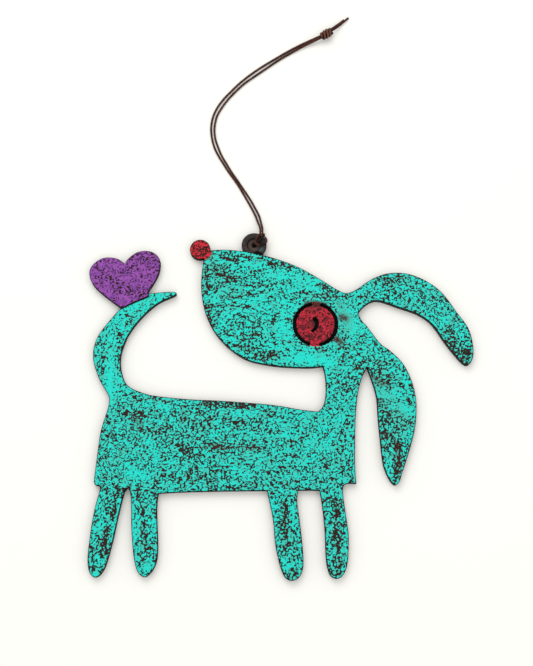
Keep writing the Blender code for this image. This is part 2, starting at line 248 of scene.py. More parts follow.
def noiseAt(places, cell, seed):
    # value noise from 0 to 1: seeded random numbers on a square lattice, joined by smoothsteps
    count = 64
    lattice = np.random.default_rng(seed).random((count, count))
    scaled = np.asarray(places)[:, :2] / cell
    corner = np.floor(scaled).astype(int)
    share = scaled - corner
    share = share * share * (3 - 2 * share)
    x, y = corner.T % count
    right, above = (x + 1) % count, (y + 1) % count
    low = lattice[x, y] * (1 - share[:, 0]) + lattice[right, y] * share[:, 0]
    high = lattice[x, above] * (1 - share[:, 0]) + lattice[right, above] * share[:, 0]
    return low * (1 - share[:, 1]) + high * share[:, 1]


def lengthAlong(curve):
    return np.concatenate([[0], np.cumsum(np.linalg.norm(np.diff(curve, axis=0), axis=1))])


def evenly(curve, step):
    # the same curve with its points a step apart
    along = lengthAlong(curve)
    at = np.linspace(0, along[-1], max(2, round(along[-1] / step) + 1))
    return np.stack([np.interp(at, along, curve[:, k]) for k in range(curve.shape[1])], axis=1)


def lengthOf(vectors):
    return np.linalg.norm(vectors, axis=-1, keepdims=True)


def unit(vectors):
    return vectors / np.maximum(lengthOf(vectors), 1e-12)


def leftOf(vectors):
    return np.stack([-vectors[:, 1], vectors[:, 0]], axis=1)


def gridFaces(rows, columns, closed=True):
    # quads over a grid of points, row after row, its columns closed into a ring or left open
    across = columns if closed else columns - 1
    row, column = np.meshgrid(np.arange(rows - 1), np.arange(across), indexing="ij")
    beside = (column + 1) % columns
    corners = [row * columns + column, row * columns + beside, (row + 1) * columns + beside]
    return np.stack([*corners, (row + 1) * columns + column], axis=-1).reshape(-1, 4)


def carriedSides(heading):
    # a side vector carried along a path without twist: the least turns between headings, multiplied up
    # in doubling steps
    first, second = heading[:-1], heading[1:]
    axis = np.cross(first, second)
    skew = np.zeros((len(axis), 3, 3))
    skew[:, [2, 0, 1], [1, 2, 0]] = axis
    skew[:, [1, 2, 0], [2, 0, 1]] = -axis
    cosine = (first * second).sum(axis=1)[:, None, None]
    turn = np.eye(3) + skew + skew @ skew / (1 + cosine)
    step = 1
    while step < len(turn):
        turn = np.concatenate([turn[:step], turn[step:] @ turn[:-step]])
        step *= 2
    start = unit(np.cross(heading[0], (0, 0, 1) if abs(heading[0][2]) < 0.9 else (1, 0, 0)))
    return np.vstack([start, turn @ start])


def together(parts):
    # several grids as one: each part's points, and its faces counted on from the part before
    points, faces, *rest = zip(*parts, strict=True)
    offset = np.cumsum([0] + [len(part) for part in points[:-1]])
    faces = [part + start for part, start in zip(faces, offset, strict=True)]
    return np.vstack(points), faces, *map(np.vstack, rest)


def pointsOf(mesh):
    at = np.empty(len(mesh.vertices) * 3)
    mesh.vertices.foreach_get("co", at)
    return at.reshape(-1, 3)


def setAttribute(mesh, name, values):
    # one value or one vector for each corner point
    kind, field = ("FLOAT", "value") if values.ndim == 1 else ("FLOAT_VECTOR", "vector")
    made = mesh.attributes.new(name, kind, "POINT")
    made.data.foreach_set(field, values.astype(np.float32).ravel())


def addPiece(name, places, faces, material, slot, uv=None, replaces=(), deep=None):
    # one closed mesh inside the CAD box, shaded smooth up to an angle
    mesh = bpy.data.meshes.new(name)
    faces = [part.tolist() for part in faces]
    mesh.from_pydata(np.clip(places, *cadBox).tolist(), [], [face for part in faces for face in part])
    if deep is not None:
        setAttribute(mesh, "deep", deep)
    if uv is not None:
        corner = np.empty(len(mesh.loops), np.int32)
        mesh.loops.foreach_get("vertex_index", corner)
        mesh.uv_layers.new(name="along").data.foreach_set("uv", uv[corner].astype(np.float32).ravel())
    mesh.materials.append(material)
    work = bmesh.new()
    work.from_mesh(mesh)
    bmesh.ops.remove_doubles(work, verts=work.verts, dist=finish["merge"])
    bmesh.ops.dissolve_degenerate(work, edges=work.edges, dist=finish["merge"])
    work.to_mesh(mesh)
    work.free()
    made = addObject(name, mesh)
    mesh.shade_smooth()
    mesh.set_sharp_from_angle(angle=math.radians(finish["angle"]))
    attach(made, "root")
    if replaces:
        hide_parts(*replaces)
    print(f"{name}: {len(mesh.polygons)} faces")
    return made


# Cord: the hitch through the disc's hole, two free strands, and the knot with its tails

disc = {
    "radius": 5.2 * mm,
    "front": 3.0 * mm,
    "back": 1.2 * mm,
    "hole": 0.95 * mm,
    "dish": 2.9 * mm,
    "dishDepth": 0.5 * mm,
    "edge": 0.22 * mm,  # rounding of the rim
    "sides": 180,
}
cord = {
    "diameter": 0.8 * mm,
    "plies": 6,
    "pitch": 2.1 * mm,  # along the cord, for one turn of the plies
    "groove": 0.06,  # depth between two plies, as a share of the radius
    "strand": [1.12, 1.12, 1.12, 1.3],  # how much thicker the free strands look, from disc to knot
    "perSpan": 8,  # points of the curve from one point of a route to the next
    "step": 0.1 * mm,
    "sides": 20,
    "dome": [0.0, 0.45, 0.8, 1.0],  # rings that close an end, as shares of the radius
    "colours": [(0, "120706"), (0.45, "371b15"), (1, "7d4c3c")],  # from dark to light: painted shade in the grooves between plies and under other turns, the cord's own fibres and patches, painted highlight on the knot's wrap crests
    "shade": 0.75,  # how dark the painted shade on the hitch's lower turns is
}


def cornersOf(node):
    return pointsOf(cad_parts[node].data)


def discCentre():
    # the rim's highest corner stands straight over the centre
    rim = cornersOf("hanger_disc")
    top = rim[rim[:, 1].argmax()]
    return np.array([top[0], top[1] - disc["radius"], 0])


discAt = discCentre()


def fromDisc(route):
    # a route in millimetres from the disc's centre, as in the CAD model, in metres
    return np.asarray(route, float) * mm + discAt


hitchRoute = [
    (2.56, 5.6, 3.2), (2.56, 5.3, 3.35), (2.54, 4.6, 3.5), (2.4, 3.8, 3.5), (2, 2.9, 3.5),
    (1.45, 1.95, 3.5), (0.85, 1.15, 3.35), (0.35, 0.7, 2.85), (0.05, 0.6, 2.1), (-0.05, 0.58, 1.4),
    (-0.1, 0.7, 0.72), (0.5, 1.2, 0.5), (1.4, 2.2, 0.55), (2.6, 3.3, 0.6), (3.8, 4.3, 0.7),
    (4.15, 4.35, 1.4), (4.2, 4.4, 2.4), (4.15, 4.5, 3.4), (3.95, 4.5, 4.15), (3.3, 4.45, 4.4),
    (2.55, 4.35, 4.4), (1.7, 3.8, 4.35), (1.1, 2.9, 4.2), (0.7, 1.9, 4.1), (0.55, 1, 4.15),
    (0.9, 0.1, 4.15), (1.7, -0.1, 3.9), (2.7, 0, 3.55), (3.7, 0.3, 3.5), (4.5, 0.65, 3.5),
    (5.05, 1.15, 3.45), (5.22, 1.85, 3.4), (5.02, 2.55, 3.35), (4.7, 3.15, 3.1), (4.62, 3.35, 2.5),
    (4.6, 3.35, 1.5), (4.2, 3, 0.75), (3.4, 2.1, 0.6), (2.2, 0.95, 0.5), (1.1, -0.05, 0.45),
    (0.3, -0.45, 0.42), (-0.8, -0.4, 0.42), (-1.25, 0.1, 0.48), (-0.62, 0.3, 0.9), (0.3, -0.1, 1.5),
    (0.55, -0.12, 2.2), (0.75, 0.05, 2.9), (1, 0.42, 3.35), (1.75, 1.3, 3.5), (2.45, 2.3, 3.5),
    (3.05, 3.2, 3.5), (3.38, 3.95, 3.5), (3.46, 4.6, 3.5), (3.46, 5.3, 3.35), (3.46, 5.6, 3.2),
]
strandRows = [  # x of the left strand, x of the right one, y and z, from the hitch on
    (2.56, 3.46, 5.6, 3.2), (2.57, 3.48, 6.4, 3), (2.32, 3.3, 8.2, 2.2), (1.7, 2.9, 9.9, 1.5),
    (0.5, 2, 13.4, 0.75), (-1.2, 0.3, 16.9, 0.47), (-3.1, -1.6, 20.4, 0.45), (-6.12, -5, 25.7, 0.45),
    (-8.42, -7.34, 29.3, 0.45), (-10.88, -9.7, 32.8, 0.45), (-13.1, -11.8, 36.4, 0.45),
    (-15.2, -13.8, 39.9, 0.45), (-16.9, -15.3, 43.5, 0.45), (-17.9, -16.5, 47.1, 0.45),
    (-18.4, -17, 50.7, 0.45), (-18.3, -16.8, 54.3, 0.45), (-17.5, -15.9, 57.9, 0.45),
    (-15.9, -14, 61.5, 0.45), (-13.4, -11.4, 65.2, 0.45), (-10.2, -8.2, 68.8, 0.45),
    (-6.6, -4.4, 72.5, 0.45), (-2.4, 0.4, 76.1, 0.45), (2.6, 5.5, 79.8, 0.45),
]
strandEnds = [  # the same strands where they run into the knot, the left one first
    [(8.25, 83.45, 0.45), (14.1, 87.05, 0.5), (20.28, 90.27, 0.95), (24.66, 92.12, 1.6),
     (28, 93.45, 2.2)],
    [(10.75, 83.55, 0.45), (16.3, 86.95, 0.5), (21.52, 89.83, 0.95), (25.54, 91.58, 1.6),
     (28.45, 92.85, 2.2)],
]
leftRoute, rightRoute = (
    [(row[side], *row[2:]) for row in strandRows] + strandEnds[side] for side in (0, 1)
)
knot = {
    "start": (28.5, 93.3, 2.3),  # millimetres from the disc's centre, as the tails' routes
    "towards": (34.1, 96.4, 2.3),
    "wraps": 3,
    "thickness": 1.75,  # of the wraps, as a share of the cord's
    "pitch": 1.36 * mm,  # between two wraps
    "radius": 1.2 * mm,  # of the wraps' middle line
    "lean": 0.2,  # of a wrap along the knot, for each step across it
    "turns": (-0.35, 3.4),  # where the coil begins and ends
    "offset": 0.75 * mm,  # of the coil from the start
    "swell": (1.08, 0.24),  # how wide the middle wraps are, and how much less the outer ones
    "hump": (0.16, 1.72, 0.2),  # one wrap stands out: how far, at which turn, how long
    "apart": 0.3 * mm,  # between the knot's middle line and each run of the cord in it
    "tails": [
        [(32.6, 96.3, 2.6), (35.25, 98.5, 2.1), (37.2, 100.25, 1.4), (38.75, 101.75, 0.9)],
        [(33.0, 96.1, 1.9), (35.75, 98.25, 1.3), (38.4, 100.8, 0.7), (40.7, 102.95, 0.45)],
    ],
}


def smoothCurve(points):
    # a centripetal curve through the points, each span from the four points about it
    points = np.asarray(points, float)
    padded = np.vstack([2 * points[0] - points[1], points, 2 * points[-1] - points[-2]])
    p = [padded[k : len(padded) - 3 + k, None, :] for k in range(4)]
    mark = [np.zeros((len(points) - 1, 1, 1))]
    for k in range(3):
        mark.append(mark[-1] + lengthOf(p[k + 1] - p[k]) ** 0.5)
    share = np.linspace(0, 1, cord["perSpan"], endpoint=False)[None, :, None]
    t = mark[1] + (mark[2] - mark[1]) * share

    def between(a, b, first, last):
        return ((mark[last] - t) * a + (t - mark[first]) * b) / (mark[last] - mark[first])

    one, two, three = (between(p[k], p[k + 1], k, k + 1) for k in range(3))
    curve = between(between(one, two, 0, 2), between(two, three, 1, 3), 1, 2)
    return np.vstack([curve.reshape(-1, points.shape[1]), points[-1:]])


def twistedCord(route, phase=0.0, thickness=(1.0, 1.0)):
    # A round section carried along the route. Its radius at an angle a and a length s is
    # r (1 - groove (1 - |cos(plies / 2 (a - 2 pi s / pitch))|)), and it closes in a dome at both ends.
    route = evenly(route, cord["step"])
    along = lengthAlong(route)
    heading = unit(np.gradient(route, axis=0))
    side = carriedSides(heading)
    up = np.cross(heading, side)
    share = np.linspace(0, len(thickness) - 1, len(route))
    radius = cord["diameter"] / 2 * np.interp(share, np.arange(len(thickness)), thickness)
    dome = np.array(cord["dome"])
    station = np.concatenate([[0] * 4, np.arange(1, len(route) - 1), [len(route) - 1] * 4])
    radius = radius[station]
    size = np.concatenate([dome, np.ones(len(route) - 2), dome[::-1]]) * radius
    bulge = np.concatenate([dome - 1, np.zeros(len(route) - 2), 1 - dome[::-1]]) * radius * 0.35
    angle = np.linspace(0, 2 * math.pi, cord["sides"] + 1)
    wound = angle[None, :] - 2 * math.pi * along[station][:, None] / cord["pitch"] + phase
    ply = 1 - cord["groove"] * (1 - np.abs(np.cos(cord["plies"] / 2 * wound)))
    spread = size[:, None] * ply
    places = (
        (route[station] + heading[station] * bulge[:, None])[:, None]
        + side[station][:, None] * (spread * np.cos(angle))[..., None]
        + up[station][:, None] * (spread * np.sin(angle))[..., None]
    )
    uv = np.stack([np.broadcast_to(along[station][:, None] / cord["pitch"], spread.shape),
                   np.broadcast_to(angle / (2 * math.pi), spread.shape)], axis=-1)
    faces = gridFaces(len(station), len(angle), closed=False)
    return places.reshape(-1, 3), faces, uv.reshape(-1, 2)


def cordMaterial():
    made, place, feed = newMaterial("waxedCord", Specular_IOR_Level=0.16)
    along = place.node("ShaderNodeUVMap", {"uv_map": "along"})
    wound = (along.part("Y") - along.part("X")) * (2 * math.pi * cord["plies"])
    ply = wound.maths("COSINE", wound) * 0.5 + 0.5
    fibre = place.noise(0.22 * mm, 2.0)
    patch = place.noise(1.6 * mm, 1.0)
    deep = attribute(place, "deep")
    # the cord's own fibres and patches, with painted shade in the grooves between plies and the painted
    # shade and highlight carried by the attribute above
    tone = (ply * 0.45 + fibre * 0.7 + patch * 0.5 - 0.35 - deep * 1.4).clamped()
    feed("Base Color", tone.ramp(*cord["colours"]))
    feed("Roughness", fibre * 0.25 + 0.42)
    feed("Normal", bump(place, ply + fibre * 0.6, 0.03 * mm, 0.8))
    return made


def knotRoutes():
    # The wraps are a helix that leans along the knot: axis (pitch a / 2 pi + lean r cos a), across r cos a,
    # over r sin a. Two runs of the cord pass through its middle and end as the tails.
    start, towards = fromDisc([knot["start"], knot["towards"]])
    axis = unit(towards - start)
    across = unit(np.cross((0, 0, 1), axis))
    over = np.cross(axis, across)
    turn = np.linspace(*knot["turns"], 30 * knot["wraps"])
    angle = -2 * math.pi * turn
    (widest, narrowing), (hump, humpAt, humpWidth) = knot["swell"], knot["hump"]
    standsOut = hump * np.exp(-(((turn - humpAt) / humpWidth) ** 2))
    fat = widest + standsOut - narrowing * (2 * turn / knot["wraps"] - 1) ** 2
    reach = knot["radius"] * fat[:, None]
    forward = knot["offset"] + knot["pitch"] * turn + knot["lean"] * knot["radius"] * np.cos(angle)
    coil = start + forward[:, None] * axis + reach * (
        np.cos(angle)[:, None] * across + np.sin(angle)[:, None] * over
    )
    strands = fromDisc([leftRoute[-1], rightRoute[-1]])
    middle = start + axis * 3 * mm
    shifts = (knot["apart"], -knot["apart"])
    cores = [
        smoothCurve([end, end + axis * 1.2 * mm, middle + across * shift, *fromDisc(tail)])
        for end, shift, tail in zip(strands, shifts, knot["tails"], strict=True)
    ]
    return [(start, axis), coil, *cores]


def wrapShadeAndHighlight(places, start, axis):
    # painted shade and highlight on the knot's wraps: from -0.35, a painted highlight where a wrap faces
    # away from the knot's middle line, to 1, painted shade in the crevices at its sides
    rings = places.reshape(-1, cord["sides"] + 1, 3)
    centre = rings.mean(axis=1) - start
    outwards = unit(centre - (centre @ axis)[:, None] * axis)
    rise = ((rings - start - centre[:, None]) * outwards[:, None]).sum(axis=2)
    return np.clip(1.3 - 1.6 * rise / (cord["diameter"] / 2 * knot["thickness"]), -0.35, 1).ravel()


def makeCords():
    look = cordMaterial()

    def addCord(name, node, parts, deep=None):
        places, faces, uv = together(parts)
        return addPiece(name, places, faces, look, "waxed_cord", uv, [node], deep)

    turns = twistedCord(smoothCurve(fromDisc(hitchRoute)))
    # painted shade: the turns that lie under others on the disc are darker, the nearer to it the more
    x, y, z = ((turns[0] - discAt) / mm).T
    under = cord["shade"] * np.clip(4.2 - z, 0, 1) * np.clip(5.2 - np.hypot(x, y), 0, 1)
    hitch = addCord("cordHitch", "cord_hitch", [turns], under)
    axis, wraps, *cores = knotRoutes()
    coil = twistedCord(wraps, 0, [knot["thickness"]] * 2)
    parts = [coil, *[twistedCord(core, 1, (1.2, 1.1)) for core in cores]]
    deep = np.zeros(sum(len(part[0]) for part in parts))
    deep[:len(coil[0])] = wrapShadeAndHighlight(coil[0], *axis)
    tie = addCord("cordKnot", "cord_knot", parts, deep)
    sides = [("cordLeft", "cord_left", leftRoute), ("cordRight", "cord_right", rightRoute)]
    for name, node, route in sides:
        line = smoothCurve(fromDisc(route))
        strand = addCord(name, node, [twistedCord(line, 0, cord["strand"])])
        [hitch, tie] if name == "cordLeft" else []


makeCords()


# Plate: the whole dog, its rounded edges and the slots of the eye

plate = {
    "thickness": 3.0 * mm,
    "wallTop": 2.75 * mm,  # where the CAD plate's wall ends under its chamfer
    "slotFloor": 1.2 * mm,
    "edgeWidth": 0.45 * mm,  # rounding of the front's edge, inwards and down
    "edgeDrop": 0.3 * mm,
    "backWidth": 0.3 * mm,
    "backDrop": 0.25 * mm,
    "slotWidth": 0.16 * mm,
    "slotDrop": 0.12 * mm,
    "outlineStep": 0.6 * mm,  # between the points of the outline, and of a slot
    "slotStep": 0.4 * mm,
    "rings": (0.12, 0.4, 1.0),  # rows of points along the outline, as shares of edgeWidth
    "slotRings": (0.5, 1.0),  # and round a slot, as shares of slotWidth
    "spacing": 0.8 * mm,  # between the front's inner points
    "backSpacing": 2.6 * mm,
    "dent": 0.035 * mm,  # depth of the front's hollows, and their size
    "dentSize": 7 * mm,
    "cutMarks": 0.05 * mm,  # depth of the cutting's marks on the sides
}


def closedLoops(node, height, upwards):
    # The closed lines in which a node's walls meet one height, anticlockwise. Wall triangles have two
    # corners there and the third above or below it. Where k steps round a line lead is found by doubling.
    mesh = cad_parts[node].data
    corners = np.empty(len(mesh.loops), np.int64)
    mesh.loops.foreach_get("vertex_index", corners)
    places, same = np.unique(np.round(cornersOf(node), 7), axis=0, return_inverse=True)
    triangles = same.reshape(-1)[corners].reshape(-1, 3)
    level = places[triangles][:, :, 2] - height
    there = np.abs(level) < 2e-6
    odd = there.argmin(axis=1)
    rows = np.arange(len(triangles))
    beyond = level[rows, odd] > 0 if upwards else level[rows, odd] < 0
    wall = (there.sum(axis=1) == 2) & beyond
    rows, odd = rows[wall], odd[wall]
    after = np.full(len(places), -1)
    after[triangles[rows, (odd + 1) % 3]] = triangles[rows, (odd + 2) % 3]
    left = after >= 0
    loops = []
    while left.any():
        walk, jump = np.array([left.argmax()]), after
        while not (walk[1:] == walk[0]).any():
            walk, jump = np.concatenate([walk, jump[walk]]), jump[jump]
        walk = walk[: (walk[1:] == walk[0]).argmax() + 1]
        left[walk] = False
        loop = places[walk][:, :2]
        area = np.cross(loop, np.roll(loop, -1, axis=0)).sum()
        loops.append(loop if area > 0 else loop[::-1])
    return sorted(loops, key=len, reverse=True)


def roundedLoop(loop, step, corner=28, bulge=0.2 * mm):
    # The closed line again, with a smooth curve in place of its chords and its real corners kept: each
    # chord becomes a cubic whose ends take the mean direction of both neighbours, within a small bulge.
    ahead = np.roll(loop, -1, axis=0) - loop
    length = lengthOf(ahead)
    along, behind = unit(ahead), np.roll(ahead, 1, axis=0)
    turn = np.degrees(np.arctan2(np.cross(behind, ahead), (behind * ahead).sum(axis=1)))[:, None]
    mean = unit(along / length + unit(behind) / np.roll(length, 1, axis=0))

    def eased(heading, sharp):
        aside = (heading - (heading * along).sum(axis=1, keepdims=True) * along) * length
        size = np.maximum(lengthOf(aside), 1e-12)
        return ahead + np.where(sharp, 0, aside * np.minimum(1, bulge / size))

    leaving = eased(mean, np.abs(turn) > corner)
    arriving = eased(np.roll(mean, -1, axis=0), np.abs(np.roll(turn, -1, axis=0)) > corner)
    pieces = np.maximum(1, np.ceil(length[:, 0] / step)).astype(int)
    chord = np.repeat(np.arange(len(loop)), pieces)
    t = (np.arange(len(chord)) - np.repeat(np.cumsum(pieces) - pieces, pieces)) / pieces[chord]
    t = t[:, None]
    return (
        (2 * t**3 - 3 * t**2 + 1) * loop[chord]
        + (t**3 - 2 * t**2 + t) * leaving[chord]
        + (3 * t**2 - 2 * t**3) * np.roll(loop, -1, axis=0)[chord]
        + (t**3 - t**2) * arriving[chord]
    )


def inwards(loop, distance):
    # each point moved square to the line, to its left
    ahead = unit(np.roll(loop, -1, axis=0) - np.roll(loop, 1, axis=0))
    return loop + distance * leftOf(ahead)


def depthIn(points, loop, most=3 * mm):
    # How far points lie inside a closed line, negative outside it, and no further than most: the distance
    # to the nearest chord, signed by how many chords a ray along x meets. Worked out tile by tile.
    start, end = loop, np.roll(loop, -1, axis=0)
    low, high = np.minimum(start, end), np.maximum(start, end)
    tile = np.unique(np.floor(points / (6 * mm)).astype(int), axis=0, return_inverse=True)[1].reshape(-1)
    order = np.argsort(tile, kind="stable")
    depth = np.empty(len(points))
    for block in np.split(order, np.flatnonzero(np.diff(tile[order])) + 1):
        least, last = points[block].min(axis=0) - most, points[block].max(axis=0) + most
        near = (low[:, 1] <= last[1]) & (high[:, 1] >= least[1]) & (high[:, 0] >= least[0])
        a, b, p = start[near], end[near], points[block][:, None, :]
        along = b - a
        share = np.clip(((p - a) * along).sum(axis=2) / np.maximum((along**2).sum(axis=1), 1e-18), 0, 1)
        away = np.linalg.norm(p - a - share[..., None] * along, axis=2).min(axis=1, initial=most)
        crosses = (a[:, 1] > p[..., 1]) != (b[:, 1] > p[..., 1])
        rise = np.where(along[:, 1] == 0, 1e-18, along[:, 1])
        meets = a[:, 0] + (p[..., 1] - a[:, 1]) / rise * along[:, 0]
        inside = (crosses & (p[..., 0] < meets)).sum(axis=1) % 2 == 1
        depth[block] = np.where(inside, away, -away)
    return depth


def roundOff(depth, width, drop):
    # a quarter ellipse: how far an edge has dropped at a distance from it
    return drop * (1 - np.sqrt(np.clip(1 - (1 - np.clip(depth / width, 0, 1)) ** 2, 0, 1)))


def fillLoops(loops, inner):
    # triangles through the inner points and closed lines: the first is the border, the rest are holes
    points = np.vstack([*loops, inner])
    sizes = [len(loop) for loop in loops]
    edges = np.vstack([
        np.stack([np.arange(n), np.roll(np.arange(n), -1)], axis=1) + start
        for n, start in zip(sizes, np.cumsum([0] + sizes[:-1]), strict=True)
    ])
    flat = [Vector(point) for point in (points / mm).tolist()]
    made, _, faces, *_ = delaunay_2d_cdt(flat, edges.tolist(), [], 1, 1e-5)
    points = np.array([point[:] for point in made]) * mm
    faces = np.array(faces)
    middle = points[faces].mean(axis=1)
    for hole in loops[1:]:
        faces = faces[depthIn(middle, hole) < 0]
        middle = points[faces].mean(axis=1)
    area = np.cross(points[faces[:, 1]] - points[faces[:, 0]], points[faces[:, 2]] - points[faces[:, 0]])
    faces = np.where(area[:, None] > 0, faces, faces[:, ::-1])
    return points, faces


def innerPoints(loop, rings, spacing, seed):
    # points inside a closed line: rings that follow it, and an uneven lattice further in
    kept = [inwards(loop, distance) for distance in rings]
    kept = [ring[depthIn(ring, loop) > 0.9 * away] for ring, away in zip(kept, rings, strict=True)]
    low, high = loop.min(axis=0), loop.max(axis=0)
    x, y = np.meshgrid(*[np.arange(low[k], high[k], spacing) for k in (0, 1)], indexing="ij")
    x[:, ::2] += spacing / 2
    lattice = np.stack([x.ravel(), y.ravel()], axis=1)
    lattice += np.random.default_rng(seed).uniform(-0.15, 0.15, lattice.shape) * spacing
    return np.vstack([*kept, lattice[depthIn(lattice, loop) > rings[-1] + 0.5 * spacing]])


# Where the paint is worn, and along which line: all places are millimetres in the frame

